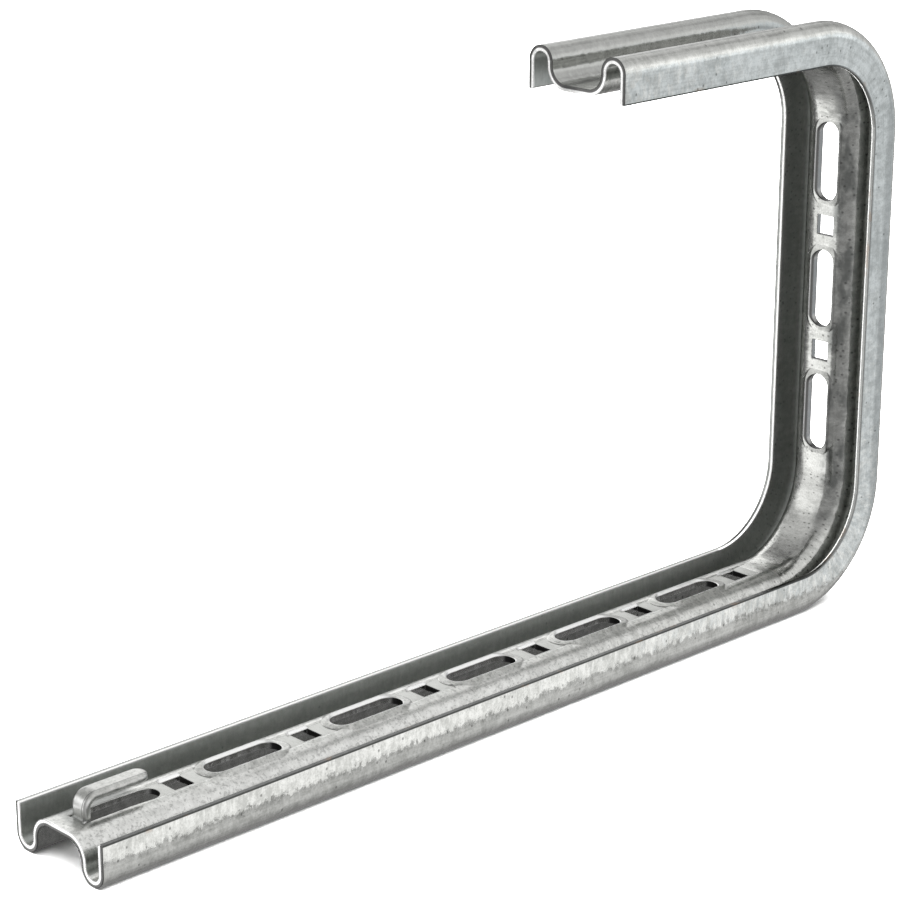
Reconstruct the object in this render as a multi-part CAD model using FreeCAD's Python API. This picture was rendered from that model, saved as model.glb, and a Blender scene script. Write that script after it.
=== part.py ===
import FreeCAD, Part
import math
import os

V = FreeCAD.Vector

# Overall sizes of the C, in mm
ARM_LENGTH = 345.0
HEIGHT = 207.6
TOP_ARM_LENGTH = 139.0
PROFILE_WIDTH = 41.0

# Rolled section: sheet, outer beads, centre hump
SHEET = 2.0
FLANGE_HEIGHT = 14.3
BEAD_RADIUS = 5.0
CROWN_HEIGHT = 13.3
HUMP_RADIUS = 7.5
EDGE_BREAK = 0.45

# Bends of the C, measured on the outside of the beads
BEND_RADIUS = 42.0

# Slots with a raised lip round each, lower at the ends, and its hollow on the other face of the sheet
SLOT_LENGTH = 27.5
SLOT_WIDTH = 8.5
LIP_RISE = 0.95
LIP_WIDTH = 3.1
LIP_SINK = 0.85
LIP_BREAK = 0.85
LIP_RUN_OUT = 10.9
HOLLOW_RISE = 0.6
HOLLOW_SINK = 1.1

# Square holes, on the long arm in a pressed centre strip and with a short lip along one side
SQUARE = 7.0
SQUARE_LIP_RISE = 0.7
SQUARE_RUN_OUT = 1.5
STRIP_WIDTH = 8.4
STRIP_SIDE = 0.6
STRIP_DEPTH = 0.3
STRIP_RUN_OUT = 9.0

# Hole pattern of the long arm, counted from its free end
FIRST_SQUARE = 42.6
ARM_PITCH = 49.4
SQUARE_TO_BEND = 10.0

# Hole pattern of the back, centred a little above its middle
BACK_RAISE = 5.3
BACK_PITCH = 45.0
BACK_OVERRUN = 3.0

# Fixing slot of the short arm, counted from its free end
TOP_SLOT = 61.0

# Hook lug lanced out of the first slot
LUG_SLOT_END = 35.2
LUG_SLOT_WIDTH = 7.6
LUG_WIDTH = 6.6
LUG_SHEET = 2.0
LUG_BACK = 7.0
LUG_TOP = 21.2
LUG_TIP = 31.2
LUG_BEND = 4.6
LUG_ROOT = 0.8
LUG_EDGE = 1.2

# Places that follow from the sizes
FREE_END = -ARM_LENGTH
BEND_END = -BEND_RADIUS
HALF_WIDTH = PROFILE_WIDTH / 2
BEAD_INNER = BEAD_RADIUS - SHEET
BEAD_MIDDLE = HALF_WIDTH - BEAD_RADIUS
HUMP_WALL = BEAD_MIDDLE - BEAD_INNER
HUMP_MIDDLE = HUMP_WALL - HUMP_RADIUS
HUMP_LEVEL = CROWN_HEIGHT - HUMP_RADIUS
HUMP_UNDER = HUMP_RADIUS - SHEET
UNDER_HEIGHT = CROWN_HEIGHT - SHEET
SLOT_RADIUS = SLOT_WIDTH / 2
SLOT_REACH = SLOT_LENGTH / 2 - SLOT_RADIUS
BACK_BEND_HIGH = HEIGHT - BEND_RADIUS
BACK_MIDDLE = HEIGHT / 2 + BACK_RAISE
STRIP_FLOOR = CROWN_HEIGHT - STRIP_DEPTH
CUT_REACH = 6.0
LIP_COVER = 0.1
LIP_FOOT = SHEET - LIP_COVER
TOUCH = 1e-4


# Outline helpers
def arc_edge(centre_y, centre_z, radius, start, end):
    """Arc in the section plane from start to end, in degrees."""
    points = []
    for angle in (start, (start + end) / 2, end):
        a = math.radians(angle)
        points.append(V(0, centre_y + radius * math.cos(a), centre_z + radius * math.sin(a)))
    return Part.Arc(*points).toShape()


def line_edge(a, b):
    return Part.LineSegment(V(0, *a), V(0, *b)).toShape()


def half_outline():
    """Edges of the section for positive Y, from the under side of the hump round to its upper side."""
    top = FLANGE_HEIGHT
    inner_face = HALF_WIDTH - SHEET
    e = EDGE_BREAK
    return [
        line_edge((0, UNDER_HEIGHT), (HUMP_MIDDLE, UNDER_HEIGHT)),
        arc_edge(HUMP_MIDDLE, HUMP_LEVEL, HUMP_UNDER, 90, 0),
        line_edge((HUMP_WALL - SHEET, HUMP_LEVEL), (HUMP_WALL - SHEET, BEAD_RADIUS)),
        arc_edge(BEAD_MIDDLE, BEAD_RADIUS, BEAD_RADIUS, 180, 360),
        line_edge((HALF_WIDTH, BEAD_RADIUS), (HALF_WIDTH, top)),
        line_edge((HALF_WIDTH, top), (inner_face + e, top)),
        line_edge((inner_face + e, top), (inner_face, top - e)),
        line_edge((inner_face, top - e), (inner_face, BEAD_RADIUS)),
        arc_edge(BEAD_MIDDLE, BEAD_RADIUS, BEAD_INNER, 0, -180),
        line_edge((HUMP_WALL, BEAD_RADIUS), (HUMP_WALL, HUMP_LEVEL)),
        arc_edge(HUMP_MIDDLE, HUMP_LEVEL, HUMP_RADIUS, 0, 90),
        line_edge((HUMP_MIDDLE, CROWN_HEIGHT), (0, CROWN_HEIGHT)),
    ]


def section_face():
    edges = half_outline()
    other = [edge.mirror(V(0, 0, 0), V(0, 1, 0)) for edge in edges]
    wire = Part.Wire(Part.__sortEdges__(edges + other))
    face = Part.Face(wire)
    return face


# The rolled profile, bent into a C
def bent_profile():
    face = section_face()
    face.translate(V(FREE_END, 0, 0))
    lower = face.extrude(V(ARM_LENGTH - BEND_RADIUS, 0, 0))
    at_bend = section_face()
    at_bend.translate(V(BEND_END, 0, 0))
    low_axis = V(BEND_END, 0, BEND_RADIUS)
    low_bend = at_bend.revolve(low_axis, V(0, -1, 0), 90)
    upright = at_bend.copy()
    upright.rotate(low_axis, V(0, -1, 0), 90)
    back = upright.extrude(V(0, 0, HEIGHT - 2 * BEND_RADIUS))
    top_start = upright.copy()
    top_start.translate(V(0, 0, HEIGHT - 2 * BEND_RADIUS))
    top_axis = V(BEND_END, 0, HEIGHT - BEND_RADIUS)
    top_bend = top_start.revolve(top_axis, V(0, -1, 0), 90)
    top_face = top_start.copy()
    top_face.rotate(top_axis, V(0, -1, 0), 90)
    upper = top_face.extrude(V(BEND_RADIUS - TOP_ARM_LENGTH, 0, 0))
    return lower.multiFuse([low_bend, back, top_bend, upper]).removeSplitter()


# Tools for the web, drawn on the long arm: X along the arm, Z out of the web
def slot_tool():
    low = CROWN_HEIGHT - CUT_REACH
    tall = 2 * CUT_REACH
    tool = Part.makeBox(2 * SLOT_REACH, SLOT_WIDTH, tall, V(-SLOT_REACH, -SLOT_RADIUS, low))
    ends = [Part.makeCylinder(SLOT_RADIUS, tall, V(x, 0, low)) for x in (-SLOT_REACH, SLOT_REACH)]
    return tool.multiFuse(ends).removeSplitter()


def square_tool():
    low = CROWN_HEIGHT - CUT_REACH
    return Part.makeBox(SQUARE, SQUARE, 2 * CUT_REACH, V(-SQUARE / 2, -SQUARE / 2, low))


def lip_outline(level, edge, rise, sink):
    """Corners of a lip over a level of the web, from the hole outwards: broken rim, then a sloped side."""
    low = level - LIP_FOOT
    top = level + rise
    rim = top - LIP_BREAK
    inside = edge - LIP_FOOT
    outside = edge + LIP_BREAK + LIP_WIDTH
    return [
        (inside, low), (inside, rim), (edge, rim), (edge + LIP_BREAK, top), (outside, level - sink),
        (outside, low), (inside, low),
    ]


def run_outs(level, half_run, run_out, rise, sink):
    """Space under a lip's top line, level in the middle and falling towards both ends."""
    low = level - LIP_FOOT
    foot = level - sink
    top = level + rise
    full = half_run + run_out
    y = -HALF_WIDTH
    corners = [
        V(-full, y, low), V(-full, y, foot), V(-half_run, y, top), V(half_run, y, top),
        V(full, y, foot), V(full, y, low), V(-full, y, low),
    ]
    return Part.Face(Part.makePolygon(corners)).extrude(V(0, PROFILE_WIDTH, 0))


def slot_lip(level, rise, sink):
    """A collar round a slot, lower at its ends."""
    outline = lip_outline(level, SLOT_RADIUS, rise, sink)
    side = Part.Face(Part.makePolygon([V(-SLOT_REACH, y, z) for y, z in outline]))
    sides = both_sides(side.extrude(V(2 * SLOT_REACH, 0, 0)))
    corner = Part.Face(Part.makePolygon([V(0, y, z) for y, z in outline]))
    near_end = on_arm(corner.revolve(V(0, 0, 0), V(0, 0, 1), 180), -SLOT_REACH)
    far_end = near_end.mirror(V(0, 0, 0), V(1, 0, 0))
    collar = sides[0].multiFuse([sides[1], near_end, far_end]).removeSplitter()
    return collar.common(run_outs(level, SLOT_REACH, LIP_RUN_OUT, rise, sink))


def square_lip():
    """A short lip along one side of a square hole."""
    half_run = SQUARE / 2
    full = half_run + SQUARE_RUN_OUT
    outline = lip_outline(STRIP_FLOOR, half_run, SQUARE_LIP_RISE, LIP_SINK)
    bar = Part.Face(Part.makePolygon([V(-full, y, z) for y, z in outline])).extrude(V(2 * full, 0, 0))
    return bar.common(run_outs(STRIP_FLOOR, half_run, SQUARE_RUN_OUT, SQUARE_LIP_RISE, LIP_SINK))


def both_sides(shape):
    return [shape, shape.mirror(V(0, 0, 0), V(0, 1, 0))]


def strip_tool(start, end):
    """Pressed strip from start to end along the arm, with sloped sides, level with the web at both ends."""
    top = CROWN_HEIGHT + CUT_REACH
    floor = STRIP_FLOOR
    half = STRIP_WIDTH / 2
    wide = half + STRIP_SIDE * CUT_REACH / STRIP_DEPTH
    across = [
        V(start, -half, floor), V(start, half, floor), V(start, wide, floor + CUT_REACH),
        V(start, -wide, floor + CUT_REACH), V(start, -half, floor),
    ]
    along = [
        V(start, -wide, CROWN_HEIGHT), V(start + STRIP_RUN_OUT, -wide, floor),
        V(end - STRIP_RUN_OUT, -wide, floor), V(end, -wide, CROWN_HEIGHT),
        V(end, -wide, top), V(start, -wide, top), V(start, -wide, CROWN_HEIGHT),
    ]
    trough = Part.Face(Part.makePolygon(across)).extrude(V(end - start, 0, 0))
    return trough.common(Part.Face(Part.makePolygon(along)).extrude(V(0, 2 * wide, 0)))


# Places of the tools on the three straight runs
def on_arm(shape, along):
    placed = shape.copy()
    placed.translate(V(along, 0, 0))
    return placed


def on_back(shape, height):
    placed = shape.copy()
    placed.rotate(V(0, 0, 0), V(0, -1, 0), 90)
    placed.translate(V(0, 0, height))
    return placed


def on_top(shape, along):
    placed = shape.copy()
    placed.rotate(V(0, 0, 0), V(0, -1, 0), 180)
    placed.translate(V(along, 0, HEIGHT))
    return placed


def arm_places():
    """As many squares as the straight run holds, with a slot between each two."""
    first = FREE_END + FIRST_SQUARE
    count = int((BEND_END - SQUARE_TO_BEND - first) / ARM_PITCH) + 1
    squares = [first + i * ARM_PITCH for i in range(count)]
    slots = [x + ARM_PITCH / 2 for x in squares[:-1]]
    return slots, squares


def back_places():
    """As many slots as the back holds, with a square between each two."""
    room = BACK_BEND_HIGH + BACK_OVERRUN - SLOT_LENGTH / 2 - BACK_MIDDLE
    count = int(2 * room / BACK_PITCH) + 1
    lowest = BACK_MIDDLE - (count - 1) * BACK_PITCH / 2
    slots = [lowest + i * BACK_PITCH for i in range(count)]
    squares = [z + BACK_PITCH / 2 for z in slots[:-1]]
    return slots, squares


# The hook lug
def lug():
    back = FREE_END + LUG_BACK
    tip = FREE_END + LUG_TIP
    y = -LUG_WIDTH / 2
    root = back - LUG_ROOT
    knee = back + LUG_BEND
    knee_z = LUG_TOP - LUG_BEND
    root_z = CROWN_HEIGHT + LUG_ROOT
    inner_bend = LUG_BEND - LUG_SHEET
    outer_root = LUG_ROOT + LUG_SHEET

    def at(x, z):
        return V(x, y, z)

    def bow(cx, cz, radius, start, end):
        points = []
        for angle in (start, (start + end) / 2, end):
            a = math.radians(angle)
            points.append(at(cx + radius * math.cos(a), cz + radius * math.sin(a)))
        return Part.Arc(*points).toShape()

    def line(a, b):
        return Part.LineSegment(a, b).toShape()

    edges = [
        bow(root, root_z, LUG_ROOT, -90, 0),
        line(at(back, root_z), at(back, knee_z)),
        bow(knee, knee_z, LUG_BEND, 180, 90),
        line(at(knee, LUG_TOP), at(tip, LUG_TOP)),
        line(at(tip, LUG_TOP), at(tip, LUG_TOP - LUG_SHEET)),
        line(at(tip, LUG_TOP - LUG_SHEET), at(knee, LUG_TOP - LUG_SHEET)),
        bow(knee, knee_z, inner_bend, 90, 180),
        line(at(back + LUG_SHEET, knee_z), at(back + LUG_SHEET, root_z)),
        bow(root, root_z, outer_root, 0, -90),
        line(at(root, CROWN_HEIGHT - LUG_SHEET), at(root, CROWN_HEIGHT)),
    ]
    face = Part.Face(Part.Wire(edges))
    strip = face.extrude(V(0, LUG_WIDTH, 0))
    r = LUG_WIDTH / 2
    low = CROWN_HEIGHT - CUT_REACH
    tall = 3 * CUT_REACH
    plan = Part.makeBox(tip - r - root, LUG_WIDTH, tall, V(root, -r, low))
    plan = plan.fuse(Part.makeCylinder(r, tall, V(tip - r, 0, low))).removeSplitter()
    tongue = strip.common(plan).removeSplitter()
    skin = Part.Wire(edges[:4])
    rims = [edge for edge in tongue.Edges if follows(edge, skin)]
    return tongue.makeFillet(LUG_EDGE, rims)


def follows(edge, skin):
    """True for an edge that runs along the lug's outer skin, and not straight across it."""
    if isinstance(edge.Curve, Part.Line) and abs(edge.Curve.Direction.y) > 0.5:
        return False
    middle = edge.valueAt((edge.FirstParameter + edge.LastParameter) / 2)
    on_side = Part.Vertex(middle.x, -LUG_WIDTH / 2, middle.z)
    return on_side.distToShape(skin)[0] < TOUCH


def lug_slot():
    start = FREE_END + LUG_BACK - LUG_ROOT
    end = FREE_END + LUG_SLOT_END
    r = LUG_SLOT_WIDTH / 2
    low = CROWN_HEIGHT - CUT_REACH
    tool = Part.makeBox(end - r - start, LUG_SLOT_WIDTH, 2 * CUT_REACH, V(start, -r, low))
    tool = tool.fuse(Part.makeCylinder(r, 2 * CUT_REACH, V(end - r, 0, low)))
    return tool.removeSplitter()


# The finished bracket
def bracket():
    slots, squares = arm_places()
    back_slots, back_squares = back_places()
    strip_start = FREE_END + LUG_SLOT_END - LUG_SLOT_WIDTH / 2 - STRIP_RUN_OUT
    body = bent_profile()
    body = body.cut(strip_tool(strip_start, BEND_END))
    rise = slot_lip(CROWN_HEIGHT, LIP_RISE, LIP_SINK)
    hollow = slot_lip(UNDER_HEIGHT, HOLLOW_RISE, HOLLOW_SINK)
    short_rise = square_lip()
    slot = slot_tool()
    square = square_tool()
    rises = [on_arm(rise, x) for x in slots] + [on_back(rise, z) for z in back_slots]
    rises += [on_arm(short_rise, x) for x in squares]
    body = body.multiFuse(rises)
    cuts = [on_arm(hollow, x) for x in slots] + [on_back(hollow, z) for z in back_slots]
    cuts += [on_arm(slot, x) for x in slots] + [on_back(slot, z) for z in back_slots]
    cuts += [on_arm(square, x) for x in squares] + [on_back(square, z) for z in back_squares]
    cuts += [on_top(slot, TOP_SLOT - TOP_ARM_LENGTH), lug_slot()]
    for tool in cuts:
        body = body.cut(tool)
    return body.fuse(lug()).removeSplitter()


shape = bracket()
if len(shape.Solids) != 1:
    raise ValueError("the bracket is one solid")
shape = shape.Solids[0]
shape.translate(V(ARM_LENGTH / 2, 0, 0))
os.makedirs("parts", exist_ok=True)
shape.exportStep("parts/c_bracket.step")
print("volume", round(shape.Volume, 1), "valid", shape.isValid(), "faces", len(shape.Faces))
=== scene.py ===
import math
from types import SimpleNamespace

import bpy
from mathutils import Matrix, Vector


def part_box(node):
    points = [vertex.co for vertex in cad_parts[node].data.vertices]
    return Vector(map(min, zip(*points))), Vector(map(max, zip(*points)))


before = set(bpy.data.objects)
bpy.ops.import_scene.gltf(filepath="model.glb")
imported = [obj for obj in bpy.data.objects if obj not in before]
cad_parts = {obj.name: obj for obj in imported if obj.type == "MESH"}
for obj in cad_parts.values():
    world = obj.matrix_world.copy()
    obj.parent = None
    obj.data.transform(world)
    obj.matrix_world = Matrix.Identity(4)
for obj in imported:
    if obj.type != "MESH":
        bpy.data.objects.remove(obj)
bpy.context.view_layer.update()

# Sizes of the bracket that its finish follows, in millimetres
MM = 1000.0
BRACKET = "c_bracket"
low_corner, high_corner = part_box(BRACKET)
ARM_END = low_corner[0] * MM
WALL = high_corner[0] * MM
HALF_WIDTH = high_corner[1] * MM
HEIGHT = high_corner[2] * MM
MIDDLE = HEIGHT / 2
TOP_ARM_LENGTH = 139.0
TOP_END = WALL - TOP_ARM_LENGTH
BEND_RADIUS = 42.0
BEND_START = WALL - BEND_RADIUS
BACK_LOW = BEND_RADIUS
BACK_HIGH = HEIGHT - BEND_RADIUS
BACK_OVERRUN = 3.0
BACK_HALF = MIDDLE - BEND_RADIUS + BACK_OVERRUN

# Rolled section: sheet, beads, flanges, centre hump and web, with levels counted from the tips of the beads
SHEET = 2.0
INNER_FACE = HALF_WIDTH - SHEET
BEAD_RADIUS = 5.0
BEAD_MIDDLE = HALF_WIDTH - BEAD_RADIUS
BEAD_FADE = 2.0
RIM_LEVEL = 14.3
ROLLED_TOP = 8.5
HUMP_RADIUS = 7.5
HUMP_MIDDLE = 5.0
HUMP_LEVEL = 5.8
WEB_LEVEL = 13.3
HOLE_HALF = 6.0
STRIP_LEVEL = 13.0
STRIP_SLACK = 0.12
CROWN_RADIUS = 80.0
CROWN_RUN_OUT = 4.0
CUT_DEPTH = 0.3

# Lug and square holes of the long arm
LUG_END = ARM_END + 33.0
LUG_MIDDLE = ARM_END + 17.0
LUG_FOOT = ARM_END + 6.5
LUG_CREASE = -1.9
CREASE_HALF = 0.2
SQUARE_FIRST = ARM_END + 42.6
SQUARE_PITCH = 49.4
SQUARE_HALF = 3.6
SQUARE_LIP_MIDDLE = 4.15
SQUARE_LIP_HALF = 0.85

# Hole walls and lips: their levels, and the slope of the lips' broken rims with its slack
WALL_LOW = WEB_LEVEL - SHEET - 0.15
ARM_WALL_HIGH = WEB_LEVEL + 0.15
LIP_TOP = WEB_LEVEL + 1.1
BROKEN_SLOPE = (0.707, 0.06)

# Marks by depth in the sheet, 0 outside the C and 1 inside it: where each begins and where it is full
OUTER_SKIN = (0.1, 0.05)
INNER_SKIN = (0.9, 0.97)
DARK_PATCH_SKIN = (0.85, 0.95)
RIM_LINE_SKIN = (0.55, 0.65)
CUT_SKIN = (0.4, 0.6)

# Marks by distance from the middle plane, given the same way
WEB_SIDE = (13.0, 11.0)
FLANGE_SIDE = (BEAD_MIDDLE, BEAD_MIDDLE + 2.0)
OUTER_SIDE = (HALF_WIDTH - 0.1, HALF_WIDTH - 0.05)
RIM_SIDE = (INNER_FACE - 0.15, INNER_FACE - 0.05)
STRIP_SIDE = (4.4, 4.1)
RAISED_SIDE = (HOLE_HALF + 2.0, HOLE_HALF)

# Marks by place across the bracket, below 0 on the camera's side, given the same way
NEAR_HALF = (1.0, -1.0)
FAR_HALF = (0.0, HUMP_MIDDLE * 2)
SHOULDER_SIDE = (-4.0, -12.0)
DARK_PATCH_START = (-2.0, -5.0)
DARK_PATCH_END = (-12.5, -10.0)
BROWN_SIDE = (-INNER_FACE, -INNER_FACE - 0.1)
SLOT_SHADE_START = (1.0, 3.0)
SLOT_SHADE_END = (9.0, 6.0)

# Marks by level above the tips of the beads, given the same way
ROLLED_LEVEL = (ROLLED_TOP, ROLLED_TOP - 2.0)
RIM_TOP = (RIM_LEVEL - 0.55, RIM_LEVEL - 0.45)
RIM_LINE_TOP = (RIM_LEVEL - 0.3, RIM_LEVEL - 0.2)
BROWN_LEVEL = (RIM_LEVEL - 1.6, RIM_LEVEL - 0.8)
LUG_LEVEL = (WEB_LEVEL + 0.5, WEB_LEVEL + 1.5)
LUG_TOP_LEVEL = (WEB_LEVEL + 5.5, WEB_LEVEL + 7.0)
LUG_SHADE_LEVEL = (WEB_LEVEL + 1.0, WEB_LEVEL + 0.3)
RAISED_LEVEL = (WEB_LEVEL + 0.05, WEB_LEVEL + 0.2)

# Marks by place along or up the bracket, or by distance from the back's middle, the lug's foot or its middle
NEAR_RUN = (BEND_START + 16.0, BEND_START)
SHORT_RUN = (BACK_HIGH, HEIGHT - BEND_RADIUS / 2)
SHOULDER_RUN = (80.0, -60.0)
BACK_RUN = (MIDDLE - BEND_RADIUS / 4, MIDDLE - BEND_RADIUS)
FOOT_SHADE_RUN = (5.0, 1.0)
SLOT_SHADE_RUN = (15.0, 10.0)

# Marks by a pattern's value, by the distance from a speck or by how a normal lies, given the same way
TONE_FADE = (0.05, 0.95)
ROUGH_FADE = (0.35, 0.65)
SPECK_RADII = (0.28, 0.084)
PIT_FADE = (0.5, 0.66)
DARK_PATCH_FADE = (0.42, 0.62)
BROWN_FADE = (0.62, 0.7)
EDGE_FADE = (0.98, 0.80)
WALL_LIGHT_FADE = (0.45, 0.8)

# Values on the arms and on the back, among them the painted shade on the beads and the painted light on the
# hole walls
BEAD_TOP = (BEAD_RADIUS - 1.5, ROLLED_TOP)
BEAD_SHADE_SHARE = (0.5, 0.55)
LIP_FOOT = (WEB_LEVEL - 0.3, WEB_LEVEL + 0.65)
WALL_START = (0.6, 0.9)
WALL_FULL = (0.5, 0.8)
WALL_LIGHT_SHARE = (1.0, 0.35)

# Patterns of the zinc: lengths along, across and up the strip in millimetres, then detail and roughness
STREAKS = ((1.3, 6.0, 6.0), 3.0, 0.6)
PATCHES = ((2.6, 3.8, 3.8), 4.0, 0.65)
GRAIN = ((0.7, 0.7, 0.7), 2.0, 0.6)
CLOUDS = ((16.0, 16.0, 16.0), 3.0, 0.55)
ROLL_MARKS = ((22.0, 0.9, 0.9), 3.0, 0.6)
PITS = ((0.95, 0.95, 0.95), 3.0, 0.6)
DARK_PATCHES = ((11.0, 7.0, 7.0), 3.0, 0.6)
BROWN_SPOTS = ((7.0, 3.0, 3.0), 2.0, 0.5)

# Cells of the specks and zinc crystals: lengths in millimetres, and the crystals' tilt and ragged edges
SPECK_CELL = (2.0, 2.6, 2.6)
SPANGLE = (1.5, 2.6, 2.6)
SPANGLE_TILT = 0.05
RAGGED = 0.9
RAGGED_SCALE = 1.3

# Strength of the patterns in the zinc's tone, from its middle, and their height in millimetres
MIDDLE_TONE = 0.5
BACK_STREAK = 0.45
ARM_STREAK = 0.9
ROLLED_STREAK = 0.2
PATCH_STRENGTH = 1.5
GRAIN_STRENGTH = 0.7
CLOUD_STRENGTH = 0.7
ROLL_MARK_STRENGTH = 0.8
STREAK_HEIGHT = 0.03
PATCH_HEIGHT = 0.035
GRAIN_HEIGHT = 0.008

# Shares of the other marks and of the painted light and shade, as the lowest and the highest where two are
# given
FAR_SHADE_SHARE = 0.7
FLANGE_SHADE_SHARE = 0.65
OUTER_SHARE = 0.7
DARK_PATCH_SHARE = (0.1, 0.75)
SPECK_SHARE = 0.75
SPECKS_MANY = 0.7
SPECKS_FEW = 0.05
PIT_SHARE = 0.5
BROWN_SHARE = 0.3
STRIP_SHADE_SHARE = 0.8
SHOULDER_HIGHLIGHT_SHARE = (0.05, 0.35)
SHOULDER_KEPT = (0.2, 1.0)
LUG_TOP_SHADE_SHARE = 0.3
LUG_LEG_HIGHLIGHT_SHARE = 0.6
CREASE_SHADE_SHARE = 0.7
FOOT_SHADE_SHARE = 0.7
SLOT_SHADE_SHARE = 0.8
SQUARE_LIP_HIGHLIGHT_SHARE = 0.8
RAISED_HIGHLIGHT_SHARE = 0.8
BROKEN_HIGHLIGHT_SHARE = 0.85

# Colours of the zinc, of its marks, and of the painted light and shade
ZINC_DARK = (0.435, 0.44, 0.42, 1)
ZINC_LIGHT = (0.71, 0.715, 0.69, 1)
# Painted shade on the beads and on the far half of the short arm
BEAD_SHADE_COLOUR = (0.3, 0.305, 0.295, 1)
# Dark patches inside the back, and painted shade round the lug
DARK_PATCH_AND_SHADE_COLOUR = (0.16, 0.168, 0.162, 1)
# Painted shade on the web's strip and on the lug's top
STRIP_AND_LUG_SHADE = (0.33, 0.335, 0.32, 1)
PIT_COLOUR = (0.24, 0.245, 0.235, 1)
BROWN = (0.27, 0.17, 0.1, 1)
SPECK_COLOUR = (0.10, 0.10, 0.095, 1)
# Painted shade on the inner faces of the flanges
FLANGE_SHADE_COLOUR = (0.40, 0.425, 0.41, 1)
# White of the painted highlights on the shoulder, lug leg, lips, edges and cut ends
HIGHLIGHT_WHITE = (0.96, 0.96, 0.95, 1)
# Painted shade on the outer half of the cut ends
CUT_SHADE = (0.12, 0.12, 0.118, 1)
# Painted highlight along the rims' inner edge, lighter on the back than on the arms
RIM_HIGHLIGHT = (0.6, 0.6, 0.59, 1)
ARM_RIM_HIGHLIGHT = (0.24, 0.24, 0.236, 1)
RIM_COLOUR = (0.3, 0.305, 0.297, 1)
NEAR_RIM = (0.07, 0.072, 0.07, 1)
# Painted light on hole walls facing across the bracket, and painted shade on those facing along it
WALL_HIGHLIGHT = (0.72, 0.72, 0.71, 1)
WALL_SHADE = (0.06, 0.06, 0.06, 1)

# Roughness of the zinc, and the rounding of the sheet's edges in millimetres
ROUGH_LOW = 0.13
ROUGH_HIGH = 0.26
FLANGE_ROUGH = 0.5
WEB_ROUGH = 0.3
OUTER_ROUGH = 0.06
EDGE_ROUND = 0.5
EDGE_SAMPLES = 6

# Camera as fitted to the photograph: place in metres, viewing direction, roll and lens
CAMERA_PLACE = Vector((-0.5816, -0.5885, 0.3582))
CAMERA_FORWARD = Vector((0.65557, 0.68729, -0.31284))
CAMERA_ROLL = math.radians(0.07)
CAMERA_LENS = 110.98
CAMERA_SENSOR = 36.0
CAMERA_CLIP = 0.01

# Studio: a pale floor under one large lamp, a dim room and a white backdrop
FLOOR_HALF = 1.6
FLOOR_COLOUR = (0.9, 0.9, 0.895, 1)
FLOOR_ROUGH = 0.9
LAMP_HEIGHT = 2.2
LAMP_SIZE = 3.5
LAMP_POWER = 330
BACKDROP = 1.0
ROOM_GLOW = 0.38

# Card that only the metal mirrors, a painted reflection of the floor's shadow, in metres from the bracket's
# near side: dark under it, grey beside it
CARD_BESIDE = 0.0143
CARD_DARK = 0.38
CARD_DEEP = 0.15
CARD_DEEP_FADE = (0.006, 0.0115)
CARD_GREY = 0.78
CARD_FADE = (-0.0085, 0.002)
CARD_RIM = 0.0012
CARD_RIM_GREY = 0.5

# Each panel: the direction it lies in, the angles where its light is full and where it ends, and its strength
PANELS = {
    "right": ((0.55, -0.75, 0.4), 20, 95, 0.66),
    "right_band": ((0.75, -0.6, 0.2), 6, 18, 0.42),
    "right_floor": ((0.6, -0.65, -0.5), 8, 17, 0.42),
    "overhead": ((0.62, 0.3, 0.72), 8, 22, 0.55),
    "behind": ((0.42, 0.83, 0.36), 12, 30, 1.25),
    "backdrop": ((0.66, 0.69, -0.31), 6, 20, 0.8),
    "left": ((-0.78, 0.56, -0.27), 4, 13, 1.1),
    "left_middle": ((-0.72, 0.65, 0.19), 8, 23, 0.84),
    "left_low": ((-0.6, 0.57, -0.55), 8, 20, 0.36),
    "left_end": ((-0.5, 0.73, -0.46), 5, 11, 1.1),
    "left_face": ((-0.656, 0.687, -0.313), 3, 8, 0.45),
    "left_high": ((-0.45, 0.7, 0.55), 12, 35, 0.35),
}

# Side from which a cool light comes, given the same way, and its colours
COOL_SIDE = ((0.88, -0.45, -0.1), 14, 22, 1.0)
WHITE = (1, 1, 1, 1)
COOL = (0.93, 0.985, 1.03, 1)

# Where the studio stays dark, given the same way, with the share of light taken off
DARK_SIDES = {
    "far_left": ((0.1, 0.95, -0.3), 12, 40, 0.68),
    "right_high": ((0.8, 0.1, 0.6), 6, 16, 0.35),
    "high": ((0.36, 0.62, 0.7), 6, 15, 0.6),
    "right_low": ((0.8, -0.55, -0.25), 6, 14, 0.14),
    "below": ((0.3, 0.1, -0.95), 15, 45, 0.3),
}


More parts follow.
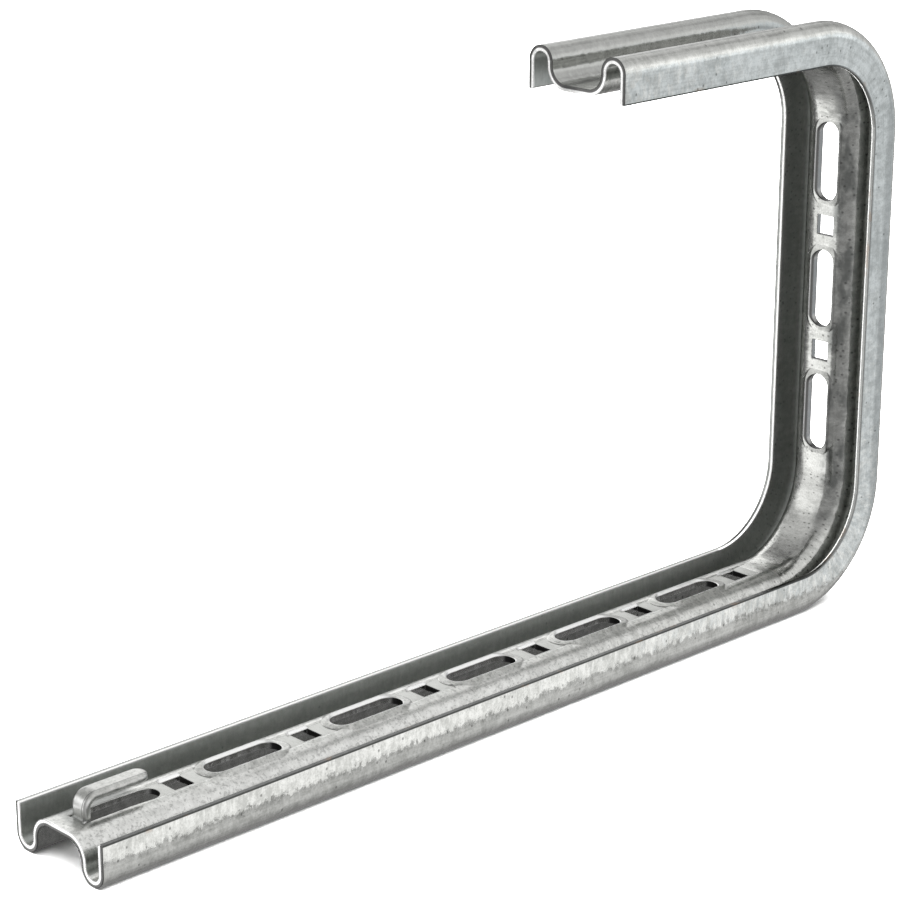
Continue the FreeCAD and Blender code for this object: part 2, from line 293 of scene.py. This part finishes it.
class Graph:
    """A node tree, with one short call for each kind of node used here."""

    def __init__(self, tree):
        self.tree = tree
        tree.nodes.clear()

    def add(self, kind, **settings):
        node = self.tree.nodes.new(kind)
        for name, value in settings.items():
            setattr(node, name, value)
        return node

    def feed(self, socket, value):
        if isinstance(value, bpy.types.NodeSocket):
            self.tree.links.new(value, socket)
        else:
            socket.default_value = value

    def show(self, shader, kind="ShaderNodeOutputMaterial"):
        """Makes a shader the tree's result."""
        self.feed(self.add(kind).inputs["Surface"], shader.outputs[0])

    def math(self, operation, *values):
        node = self.add("ShaderNodeMath", operation=operation)
        for socket, value in zip(node.inputs, values):
            self.feed(socket, value)
        return node.outputs[0]

    def times(self, first, *others):
        """The product of several values."""
        if not others:
            return first
        return self.math("MULTIPLY", first, self.times(*others))

    def rest(self, share):
        """What a share leaves of the whole."""
        return self.math("SUBTRACT", 1.0, share)

    def apart(self, value, middle):
        """How far a value is from a middle one."""
        return self.math("ABSOLUTE", self.math("SUBTRACT", value, middle))

    def past(self, value, limit):
        """How far a value lies past a limit, or 0."""
        return self.math("MAXIMUM", self.math("SUBTRACT", value, limit), 0.0)

    def mean(self, first, second):
        return self.math("MULTIPLY_ADD", first, 0.5, self.math("MULTIPLY", second, 0.5))

    def hypot(self, first, second):
        squares = self.math("MULTIPLY_ADD", first, first, self.math("MULTIPLY", second, second))
        return self.math("SQRT", squares)

    def step(self, value, start, end, low=0.0, high=1.0):
        """Runs smoothly from low to high while the value runs from start to end."""
        node = self.add("ShaderNodeMapRange", interpolation_type="SMOOTHSTEP")
        for socket, number in zip(node.inputs, (value, start, end, low, high)):
            self.feed(socket, number)
        return node.outputs[0]

    def stretch(self, vector, lengths):
        """The place divided by a length along each direction."""
        node = self.add("ShaderNodeVectorMath", operation="DIVIDE")
        self.feed(node.inputs[0], vector)
        node.inputs[1].default_value = lengths
        return node.outputs[0]

    def noise(self, place, lengths, detail, rough):
        """A cloudy pattern with these lengths, from 0 to 1."""
        vector = self.stretch(place, lengths)
        node = self.add("ShaderNodeTexNoise")
        self.feed(node.inputs["Vector"], vector)
        node.inputs["Scale"].default_value = 1.0
        node.inputs["Detail"].default_value = detail
        node.inputs["Roughness"].default_value = rough
        return node.outputs["Fac"]

    def cells(self, vector):
        node = self.add("ShaderNodeTexVoronoi")
        self.feed(node.inputs["Vector"], vector)
        node.inputs["Scale"].default_value = 1.0
        return node

    def blend(self, share, first, second):
        """A number between two, by a share."""
        node = self.add("ShaderNodeMix")
        for index, value in ((0, share), (2, first), (3, second)):
            self.feed(node.inputs[index], value)
        return node.outputs[0]

    def mix(self, share, first, second):
        """A colour between two, by a share."""
        node = self.add("ShaderNodeMix", data_type="RGBA")
        for index, value in ((0, share), (6, first), (7, second)):
            self.feed(node.inputs[index], value)
        return node.outputs[2]


def new_material(name):
    """A new material and the graph of its nodes."""
    material = bpy.data.materials.new(name)
    material.use_nodes = True
    return material, Graph(material.node_tree)


def strip_place(graph):
    """The place on the flat strip before bending, the level above its beads, and the place in the part."""
    source = graph.add("ShaderNodeTexCoord").outputs["Object"]
    metres = graph.add("ShaderNodeSeparateXYZ")
    graph.feed(metres.inputs[0], source)
    x, y, z = (graph.math("MULTIPLY", metres.outputs[axis], MM) for axis in range(3))
    run = graph.math("MINIMUM", x, BEND_START)
    past = graph.math("SUBTRACT", x, run)
    level = graph.math("MINIMUM", graph.math("MAXIMUM", z, BACK_LOW), BACK_HIGH)
    beyond = graph.apart(z, level)
    turned = graph.math("MULTIPLY", graph.math("ARCTAN2", past, beyond), BEND_RADIUS)
    travel = graph.math("ADD", run, turned)
    upper = graph.math("GREATER_THAN", z, MIDDLE)
    sign = graph.math("SUBTRACT", 1.0, graph.math("MULTIPLY", upper, 2.0))
    to_back = graph.math("SUBTRACT", travel, BEND_START + BEND_RADIUS * math.pi / 2)
    along = graph.math("ADD", level, graph.math("MULTIPLY", sign, to_back))
    rise = graph.math("SUBTRACT", BEND_RADIUS, graph.hypot(past, beyond))
    join = graph.add("ShaderNodeCombineXYZ")
    for socket, value in zip(join.inputs, (along, y, rise)):
        graph.feed(socket, value)
    return join.outputs[0], rise, (x, y, z)


def sheet_depth(graph, side, rise):
    """Depth in the sheet: 0 on the skin outside the C, 1 on the skin inside it."""
    under = graph.math("MINIMUM", graph.math("SUBTRACT", rise, BEAD_RADIUS), 0.0)
    from_bead = graph.hypot(graph.math("SUBTRACT", side, BEAD_MIDDLE), under)
    at_bead = graph.math("DIVIDE", graph.math("SUBTRACT", BEAD_RADIUS, from_bead), SHEET)
    from_hump = graph.hypot(graph.past(side, HUMP_MIDDLE), graph.past(rise, HUMP_LEVEL))
    at_hump = graph.math("DIVIDE", graph.math("SUBTRACT", from_hump, HUMP_RADIUS - SHEET), SHEET)
    on_hump = graph.times(graph.math("LESS_THAN", side, BEAD_MIDDLE),
                          graph.math("GREATER_THAN", rise, BEAD_RADIUS))
    return graph.blend(on_hump, at_bead, at_hump)


def find_spot(graph):
    """Where a point lies: in the part, on the flat strip, in the sheet, and on which run of the C."""
    place, rise, (x, y, z) = strip_place(graph)
    side = graph.math("ABSOLUTE", y)
    depth = sheet_depth(graph, side, rise)
    spot = SimpleNamespace(x=x, y=y, z=z, place=place, side=side, rise=rise, depth=depth)
    spot.on_arm = graph.math("LESS_THAN", x, BEND_START)
    on_back = graph.math("COMPARE", z, MIDDLE, BACK_HALF)
    spot.on_back = graph.math("SUBTRACT", on_back, graph.times(spot.on_arm, on_back))
    spot.along_back = graph.step(graph.apart(z, MIDDLE), *BACK_RUN)
    spot.on_short = graph.step(z, *SHORT_RUN)
    spot.near = graph.times(graph.step(x, *NEAR_RUN), graph.step(y, *NEAR_HALF))
    spot.outside = graph.step(depth, *OUTER_SKIN)
    inside = graph.step(depth, *INNER_SKIN)
    spot.flange = graph.times(inside, graph.step(side, *FLANGE_SIDE))
    spot.web = graph.times(inside, graph.step(side, *WEB_SIDE))
    return spot


def layered(graph, tone, pattern, strength):
    """A tone with a pattern laid over it."""
    return graph.math("MULTIPLY_ADD", graph.math("SUBTRACT", pattern, MIDDLE_TONE), strength, tone)


def zinc_tone(graph, spot):
    """Tone, height and roughness of the zinc, from streaks, patches, grain, slow clouds and roll marks."""
    rolled = graph.math("MAXIMUM", graph.math("GREATER_THAN", spot.z, BACK_LOW),
                        graph.step(spot.rise, *ROLLED_LEVEL))
    rolled = graph.times(spot.outside, rolled)
    streaks, patches, grain, clouds, marks = (
        graph.noise(spot.place, *pattern) for pattern in (STREAKS, PATCHES, GRAIN, CLOUDS, ROLL_MARKS))
    streak = graph.blend(rolled, graph.blend(spot.on_arm, BACK_STREAK, ARM_STREAK), ROLLED_STREAK)
    tone = layered(graph, MIDDLE_TONE, streaks, streak)
    tone = layered(graph, tone, patches, PATCH_STRENGTH)
    tone = layered(graph, tone, grain, GRAIN_STRENGTH)
    tone = layered(graph, tone, clouds, CLOUD_STRENGTH)
    tone = layered(graph, tone, marks, graph.times(rolled, ROLL_MARK_STRENGTH))
    height = graph.math("MULTIPLY", streaks, STREAK_HEIGHT)
    height = graph.math("MULTIPLY_ADD", patches, PATCH_HEIGHT, height)
    height = graph.math("MULTIPLY_ADD", grain, GRAIN_HEIGHT, height)
    rough = graph.step(graph.mean(clouds, patches), *ROUGH_FADE, ROUGH_LOW, ROUGH_HIGH)
    return graph.step(tone, *TONE_FADE), height, rough


def dulled(graph, spot, rough):
    """Roughness with the dull flanges, the dull web of the arms and the glossy outer faces."""
    rough = graph.blend(spot.flange, rough, FLANGE_ROUGH)
    rough = graph.blend(graph.times(spot.web, spot.on_arm), rough, WEB_ROUGH)
    outer = graph.times(graph.step(spot.side, *OUTER_SIDE), OUTER_SHARE)
    return graph.blend(outer, rough, OUTER_ROUGH)


def spangle_tilt(graph, place):
    """A small tilt for each zinc crystal, different from its neighbours."""
    around = graph.stretch(place, SPANGLE)
    noise = graph.add("ShaderNodeTexNoise")
    graph.feed(noise.inputs["Vector"], around)
    noise.inputs["Scale"].default_value = RAGGED_SCALE
    ragged = graph.add("ShaderNodeVectorMath", operation="MULTIPLY_ADD")
    graph.feed(ragged.inputs[0], noise.outputs["Color"])
    ragged.inputs[1].default_value = (RAGGED,) * 3
    graph.feed(ragged.inputs[2], around)
    tilt = graph.add("ShaderNodeVectorMath", operation="MULTIPLY_ADD")
    graph.feed(tilt.inputs[0], graph.cells(ragged.outputs[0]).outputs["Color"])
    tilt.inputs[1].default_value = (SPANGLE_TILT,) * 3
    tilt.inputs[2].default_value = (-SPANGLE_TILT / 2,) * 3
    return tilt.outputs[0]


def crown(graph, side):
    """Height of the web's slight crown, which runs out smoothly on the shoulders."""
    across = graph.math("MINIMUM", side, HUMP_MIDDLE)
    beyond = graph.math("MINIMUM", graph.math("SUBTRACT", side, across), CROWN_RUN_OUT)
    eased = graph.math("DIVIDE", graph.math("MULTIPLY", beyond, beyond), -2 * CROWN_RUN_OUT)
    eased = graph.math("MULTIPLY", graph.math("ADD", beyond, eased), HUMP_MIDDLE)
    fall = graph.math("MULTIPLY_ADD", graph.math("MULTIPLY", across, across), 0.5, eased)
    return graph.math("DIVIDE", fall, -CROWN_RADIUS)


def bead_shade_mask(graph, spot):
    """Painted shade on the beads outside the C, wider along the back, and on the far half of the short arm.
    """
    top = graph.blend(spot.along_back, *BEAD_TOP)
    share = graph.blend(spot.along_back, *BEAD_SHADE_SHARE)
    bead = graph.step(graph.math("SUBTRACT", top, spot.rise), 0.0, BEAD_FADE, high=share)
    far = graph.times(spot.on_short, graph.step(spot.y, *FAR_HALF, high=FAR_SHADE_SHARE))
    return graph.times(spot.outside, graph.math("MAXIMUM", bead, far))


def dark_patch_mask(graph, spot):
    """Soft dark patches inside the back, on its half at the camera's side."""
    half = graph.times(spot.along_back, graph.step(spot.y, *DARK_PATCH_START))
    inside = graph.times(half, graph.step(spot.depth, *DARK_PATCH_SKIN), graph.step(spot.y, *DARK_PATCH_END))
    return graph.times(inside, graph.step(graph.noise(spot.place, *DARK_PATCHES), *DARK_PATCH_FADE, *DARK_PATCH_SHARE))


def specks_mask(graph, spot):
    """Small dark specks, in some of the cells of a grid, fewer of them on the arms and outside the C."""
    cells = graph.cells(graph.stretch(spot.place, SPECK_CELL))
    chosen = graph.add("ShaderNodeSeparateColor")
    graph.feed(chosen.inputs[0], cells.outputs["Color"])
    speck = graph.step(cells.outputs["Distance"], *SPECK_RADII)
    few = graph.math("MAXIMUM", spot.on_arm, spot.outside)
    kept = graph.math("LESS_THAN", chosen.outputs[1], graph.blend(few, SPECKS_MANY, SPECKS_FEW))
    return graph.times(SPECK_SHARE, speck, kept)


def strip_shade_mask(graph, spot):
    """Painted shade on the strip that is pressed along the long arm's web."""
    level = graph.math("COMPARE", spot.rise, STRIP_LEVEL, STRIP_SLACK)
    strip = graph.times(level, graph.step(spot.side, *STRIP_SIDE, high=STRIP_SHADE_SHARE))
    return graph.times(strip, spot.on_arm)


def shoulder_highlight_mask(graph, spot):
    """A painted highlight on the shoulder of the long arm's web, on the camera's side and most towards its
    free end.
    """
    near_web = graph.times(graph.rest(spot.on_short), spot.web, spot.near)
    light = graph.times(graph.step(spot.y, *SHOULDER_SIDE, *SHOULDER_HIGHLIGHT_SHARE),
                        graph.step(spot.x, *SHOULDER_RUN, *SHOULDER_KEPT))
    return graph.times(near_web, light)


def pits_mask(graph, spot):
    """Fine pits in the zinc on the web of the arms."""
    pits = graph.step(graph.noise(spot.place, *PITS), *PIT_FADE, high=PIT_SHARE)
    return graph.times(pits, spot.web, spot.on_arm)


def lug_masks(graph, spot):
    """The lug's top with painted shade and its leg with a painted highlight, and painted shade along a crease
    line, round its foot and beside its slot.
    """
    at_end = graph.math("LESS_THAN", spot.x, LUG_END)
    lug = graph.times(graph.math("LESS_THAN", spot.side, HOLE_HALF), at_end)
    lug = graph.times(lug, graph.step(spot.rise, *LUG_LEVEL))
    top = graph.times(lug, graph.step(spot.rise, *LUG_TOP_LEVEL))
    leg = graph.math("SUBTRACT", lug, top)
    crease = graph.times(lug, graph.math("COMPARE", spot.y, LUG_CREASE, CREASE_HALF))
    on_web = graph.times(at_end, graph.step(spot.rise, *LUG_SHADE_LEVEL))
    from_foot = graph.hypot(graph.math("SUBTRACT", spot.x, LUG_FOOT), graph.past(spot.side, HUMP_MIDDLE / 2))
    foot = graph.step(from_foot, *FOOT_SHADE_RUN, high=FOOT_SHADE_SHARE)
    from_middle = graph.apart(spot.x, LUG_MIDDLE)
    beside = graph.times(graph.step(from_middle, *SLOT_SHADE_RUN, high=SLOT_SHADE_SHARE),
                         graph.step(spot.y, *SLOT_SHADE_START), graph.step(spot.y, *SLOT_SHADE_END))
    shade = graph.times(on_web, graph.math("MAXIMUM", foot, beside))
    dark = graph.math("MAXIMUM", shade, graph.times(crease, CREASE_SHADE_SHARE))
    return graph.times(top, LUG_TOP_SHADE_SHARE), graph.times(leg, LUG_LEG_HIGHLIGHT_SHARE), dark


def square_lip_highlight_mask(graph, spot):
    """A painted highlight on the short lips beside the long arm's square holes."""
    nearest = graph.math("WRAP", spot.x, SQUARE_FIRST + SQUARE_PITCH / 2, SQUARE_FIRST - SQUARE_PITCH / 2)
    lip = graph.times(graph.math("COMPARE", nearest, SQUARE_FIRST, SQUARE_HALF),
                      graph.math("COMPARE", spot.y, SQUARE_LIP_MIDDLE, SQUARE_LIP_HALF))
    lower = graph.times(spot.on_arm, graph.math("LESS_THAN", spot.z, MIDDLE))
    return graph.times(SQUARE_LIP_HIGHLIGHT_SHARE, lip, lower)


def raised_edge_highlight_mask(graph, spot, edges):
    """A painted highlight on the edges of the lips and of the lug, where they stand above the web."""
    raised = graph.times(graph.step(spot.rise, *RAISED_LEVEL), graph.step(spot.side, *RAISED_SIDE))
    return graph.times(edges, raised, RAISED_HIGHLIGHT_SHARE)


def hole_masks(graph, spot):
    """The lips' broken rims, which get a painted highlight, the hole walls, and the share of the walls that
    gets painted light: those facing across the bracket, while the rest get painted shade.
    """
    normal = graph.add("ShaderNodeSeparateXYZ")
    graph.feed(normal.inputs[0], graph.add("ShaderNodeNewGeometry").outputs["Normal"])
    n_x, n_y, n_z = (graph.math("ABSOLUTE", normal.outputs[axis]) for axis in range(3))
    lying = graph.blend(spot.on_back, n_z, n_x)
    at_hole = graph.times(graph.math("LESS_THAN", spot.side, HOLE_HALF),
                          graph.math("ADD", spot.on_arm, spot.on_back))
    lip_foot = graph.blend(spot.on_back, *LIP_FOOT)
    wall_high = graph.blend(spot.on_back, ARM_WALL_HIGH, lip_foot)
    steep = graph.step(lying, graph.blend(spot.on_back, *WALL_START), graph.blend(spot.on_back, *WALL_FULL))
    wall = graph.times(steep, graph.math("GREATER_THAN", spot.rise, WALL_LOW),
                       graph.math("LESS_THAN", spot.rise, wall_high))
    broken = graph.times(graph.math("COMPARE", lying, *BROKEN_SLOPE),
                         graph.math("GREATER_THAN", spot.rise, lip_foot),
                         graph.math("LESS_THAN", spot.rise, LIP_TOP))
    wall_light = graph.times(graph.step(n_y, *WALL_LIGHT_FADE), graph.blend(spot.on_back, *WALL_LIGHT_SHARE))
    return graph.times(BROKEN_HIGHLIGHT_SHARE, broken, at_hole), graph.times(wall, at_hole), wall_light


def rim_masks(graph, spot):
    """The flanges' rims, and the line along their inner edge that gets a painted highlight, which the
    camera's side of the arms lacks.
    """
    rim = graph.times(graph.step(spot.rise, *RIM_TOP), graph.step(spot.side, *RIM_SIDE))
    inner = graph.times(graph.step(spot.depth, *RIM_LINE_SKIN), graph.step(spot.rise, *RIM_LINE_TOP))
    return rim, graph.times(graph.rest(spot.near), rim, inner)


def brown_mask(graph, spot):
    """A few faint brown spots along the flange on the camera's side."""
    spots = graph.step(graph.noise(spot.place, *BROWN_SPOTS), *BROWN_FADE, high=BROWN_SHARE)
    return graph.times(spots, graph.step(spot.rise, *BROWN_LEVEL), graph.step(spot.y, *BROWN_SIDE))


def cut_end_mask(graph, spot):
    """The two cut ends of the strip."""
    long_end = graph.math("LESS_THAN", spot.x, ARM_END + CUT_DEPTH)
    short_end = graph.times(graph.math("LESS_THAN", graph.apart(spot.x, TOP_END), CUT_DEPTH),
                            graph.math("GREATER_THAN", spot.z, MIDDLE))
    return graph.math("MAXIMUM", long_end, short_end)


def edge_mask(graph):
    """Edges of the sheet, found where a rounded normal leaves the face's own, and the rounded normal."""
    rounded = graph.add("ShaderNodeBevel", samples=EDGE_SAMPLES)
    rounded.inputs["Radius"].default_value = EDGE_ROUND / MM
    facing = graph.add("ShaderNodeVectorMath", operation="DOT_PRODUCT")
    graph.feed(facing.inputs[0], rounded.outputs[0])
    graph.feed(facing.inputs[1], graph.add("ShaderNodeNewGeometry").outputs["Normal"])
    return graph.step(facing.outputs["Value"], *EDGE_FADE), rounded.outputs[0]


def zinc_coats(graph, spot):
    """Marks of the whole strip, each as its share and its colour: painted shade on the beads, dark patches,
    specks, and painted shade on the flanges.
    """
    return [
        (bead_shade_mask(graph, spot), BEAD_SHADE_COLOUR),
        (dark_patch_mask(graph, spot), DARK_PATCH_AND_SHADE_COLOUR),
        (specks_mask(graph, spot), SPECK_COLOUR),
        # painted shade on the inner faces of the flanges
        (graph.times(spot.flange, FLANGE_SHADE_SHARE), FLANGE_SHADE_COLOUR),
    ]


def web_coats(graph, spot, edges):
    """Marks of the web, given the same way: painted shade on its strip, a painted highlight on its shoulder,
    its pits, painted light and shade on the lug, and painted highlights and shade on the lips and holes.
    """
    lug_top_shade, lug_leg_highlight, lug_shade = lug_masks(graph, spot)
    broken, wall, wall_light = hole_masks(graph, spot)
    return [
        (strip_shade_mask(graph, spot), STRIP_AND_LUG_SHADE),
        (shoulder_highlight_mask(graph, spot), HIGHLIGHT_WHITE),
        (pits_mask(graph, spot), PIT_COLOUR),
        (lug_top_shade, STRIP_AND_LUG_SHADE),
        (lug_leg_highlight, HIGHLIGHT_WHITE),
        (square_lip_highlight_mask(graph, spot), HIGHLIGHT_WHITE),
        (raised_edge_highlight_mask(graph, spot, edges), HIGHLIGHT_WHITE),
        (broken, HIGHLIGHT_WHITE),
        (lug_shade, DARK_PATCH_AND_SHADE_COLOUR),
        (wall, graph.mix(wall_light, WALL_SHADE, WALL_HIGHLIGHT)),
    ]


def rim_coats(graph, spot, rim, line, ends):
    """Marks of the rims and cut ends, given the same way: rims nearly black on the camera's side of the arms,
    a painted highlight along their inner edge, brown spots, and painted shade and a painted highlight on the
    cut ends.
    """
    return [
        (rim, graph.mix(spot.near, RIM_COLOUR, NEAR_RIM)),
        (line, graph.mix(spot.on_arm, RIM_HIGHLIGHT, ARM_RIM_HIGHLIGHT)),
        (brown_mask(graph, spot), BROWN),
        # cut ends: painted shade on the outer half, a painted highlight on the inner half
        (ends, graph.mix(graph.step(spot.depth, *CUT_SKIN), CUT_SHADE, HIGHLIGHT_WHITE)),
    ]


def finish_normal(graph, spot, height, rounded):
    """The normal with rounded edges, the zinc's fine height, the web's crown and the tilt of the crystals."""
    bump = graph.add("ShaderNodeBump")
    bump.inputs["Strength"].default_value = 1.0
    bump.inputs["Distance"].default_value = 1 / MM
    graph.feed(bump.inputs["Height"], graph.math("ADD", height, crown(graph, spot.side)))
    graph.feed(bump.inputs["Normal"], rounded)
    tilted = graph.add("ShaderNodeVectorMath", operation="ADD")
    graph.feed(tilted.inputs[0], bump.outputs[0])
    graph.feed(tilted.inputs[1], spangle_tilt(graph, spot.place))
    unit = graph.add("ShaderNodeVectorMath", operation="NORMALIZE")
    graph.feed(unit.inputs[0], tilted.outputs[0])
    return unit.outputs[0]


def galvanised_steel():
    """Galvanised sheet: mottled zinc with dull flanges, dark specks, pits and patches, painted shade on the
    beads, flanges and strip, and painted highlights and shade at its edges.
    """
    material, graph = new_material("galvanised_steel_finish")
    spot = find_spot(graph)
    edges, rounded = edge_mask(graph)
    tone, height, rough = zinc_tone(graph, spot)
    rim, line = rim_masks(graph, spot)
    ends = cut_end_mask(graph, spot)
    coats = zinc_coats(graph, spot) + web_coats(graph, spot, edges) + rim_coats(graph, spot, rim, line, ends)
    colour = graph.mix(tone, ZINC_DARK, ZINC_LIGHT)
    for share, coat in coats:
        colour = graph.mix(share, colour, coat)
    # The painted highlight line along the rims, but not on the cut ends, is made not metallic
    highlight_line = graph.times(line, graph.rest(ends))
    surface = graph.add("ShaderNodeBsdfPrincipled")
    graph.feed(surface.inputs["Metallic"], graph.rest(highlight_line))
    graph.feed(surface.inputs["Base Color"], colour)
    graph.feed(surface.inputs["Roughness"], dulled(graph, spot, rough))
    graph.feed(surface.inputs["Normal"], finish_normal(graph, spot, height, rounded))
    graph.show(surface)
    return material


def dress_bracket():
    """Gives the one folded sheet its finish."""
    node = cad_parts[BRACKET]
    finish = galvanised_steel()
    for slot in node.material_slots:
        slot.material = finish


def flat_sheet(name, x0, x1, y0, y1, material):
    """A flat rectangle at the level of the bracket's foot."""
    mesh = bpy.data.meshes.new(name)
    mesh.from_pydata([(x0, y0, 0), (x1, y0, 0), (x1, y1, 0), (x0, y1, 0)], [], [(0, 1, 2, 3)])
    mesh.materials.append(material)
    sheet = bpy.data.objects.new(name, mesh)
    bpy.context.scene.collection.objects.link(sheet)
    return sheet


def floor_material():
    """A plain, pale and dull surface."""
    material, graph = new_material("pale_floor")
    surface = graph.add("ShaderNodeBsdfPrincipled")
    surface.inputs["Base Color"].default_value = FLOOR_COLOUR
    surface.inputs["Roughness"].default_value = FLOOR_ROUGH
    graph.show(surface)
    return material


def build_floor():
    """A plain pale floor that the bracket stands on. The metal mirrors the panels instead of it."""
    floor = flat_sheet("floor", -FLOOR_HALF, FLOOR_HALF, -FLOOR_HALF, FLOOR_HALF, floor_material())
    floor.visible_glossy = False


def shadow_reflection_material():
    """A glow that runs from grey beside the bracket to dark under it, with a darker outer rim: a painted
    reflection of the floor's shadow and its edge.
    """
    material, graph = new_material("card")
    place = graph.add("ShaderNodeSeparateXYZ")
    graph.feed(place.inputs[0], graph.add("ShaderNodeTexCoord").outputs["Object"])
    across = place.outputs[1]
    edge = low_corner[1]
    start, end = (edge + shift for shift in CARD_FADE)
    light = graph.step(across, start, end, CARD_GREY, CARD_DARK)
    start, end = (edge + shift for shift in CARD_DEEP_FADE)
    light = graph.times(light, graph.step(across, start, end, 1.0, CARD_DEEP / CARD_DARK))
    outside = edge - CARD_BESIDE
    rim = graph.step(across, outside + CARD_RIM, outside + 2 * CARD_RIM, CARD_RIM_GREY / CARD_GREY, 1.0)
    glow = graph.add("ShaderNodeEmission")
    glow.inputs["Color"].default_value = WHITE
    graph.feed(glow.inputs["Strength"], graph.times(light, rim))
    graph.show(glow)
    return material


def build_card():
    """A flat card under the long arm, out of the camera's sight, that keeps its mirrored under side dark as a
    painted reflection of the floor's shadow.
    """
    near_side = low_corner[1] - CARD_BESIDE
    card = flat_sheet("card", low_corner[0], high_corner[0], near_side, high_corner[1], shadow_reflection_material())
    card.visible_camera = False
    card.visible_diffuse = False
    card.visible_shadow = False


def build_lamp():
    """One large soft lamp straight above, for the floor and the bracket's faint shadow."""
    light = bpy.data.lights.new("overhead_lamp", "AREA")
    light.size = LAMP_SIZE
    light.energy = LAMP_POWER
    lamp = bpy.data.objects.new("overhead_lamp", light)
    lamp.location = (0, 0, LAMP_HEIGHT)
    lamp.visible_glossy = False
    bpy.context.scene.collection.objects.link(lamp)


def panel_light(graph, direction, centre, full, end, strength):
    """Light of one soft panel, seen in a direction."""
    turn = graph.add("ShaderNodeVectorMath", operation="DOT_PRODUCT")
    graph.feed(turn.inputs[0], direction)
    turn.inputs[1].default_value = Vector(centre).normalized()
    edge = math.cos(math.radians(end))
    inside = math.cos(math.radians(full))
    return graph.step(turn.outputs["Value"], edge, inside, high=strength)


def build_world():
    """A dim room with soft panels, and a plain white backdrop for the camera."""
    world = bpy.data.worlds.new("studio")
    world.use_nodes = True
    bpy.context.scene.world = world
    graph = Graph(world.node_tree)
    direction = graph.add("ShaderNodeTexCoord").outputs["Generated"]
    glow = ROOM_GLOW
    for panel in PANELS.values():
        glow = graph.math("ADD", panel_light(graph, direction, *panel), glow)
    for side in DARK_SIDES.values():
        glow = graph.times(glow, graph.rest(panel_light(graph, direction, *side)))
    seen = graph.add("ShaderNodeLightPath").outputs["Is Camera Ray"]
    cool = graph.times(panel_light(graph, direction, *COOL_SIDE), graph.rest(seen))
    background = graph.add("ShaderNodeBackground")
    graph.feed(background.inputs["Color"], graph.mix(cool, WHITE, COOL))
    graph.feed(background.inputs["Strength"], graph.blend(seen, glow, BACKDROP))
    graph.show(background, "ShaderNodeOutputWorld")


def build_camera():
    """The photograph's own view of the bracket."""
    data = bpy.data.cameras.new("camera")
    data.sensor_width = CAMERA_SENSOR
    data.lens = CAMERA_LENS
    data.clip_start = CAMERA_CLIP
    camera = bpy.data.objects.new("camera", data)
    turn = CAMERA_FORWARD.to_track_quat("-Z", "Y").to_matrix().to_4x4()
    camera.matrix_world = Matrix.Translation(CAMERA_PLACE) @ turn @ Matrix.Rotation(CAMERA_ROLL, 4, "Z")
    bpy.context.scene.collection.objects.link(camera)
    bpy.context.scene.camera = camera


dress_bracket()
build_floor()
build_card()
build_lamp()
build_world()
build_camera()
bpy.context.scene.view_settings.view_transform = "Standard"
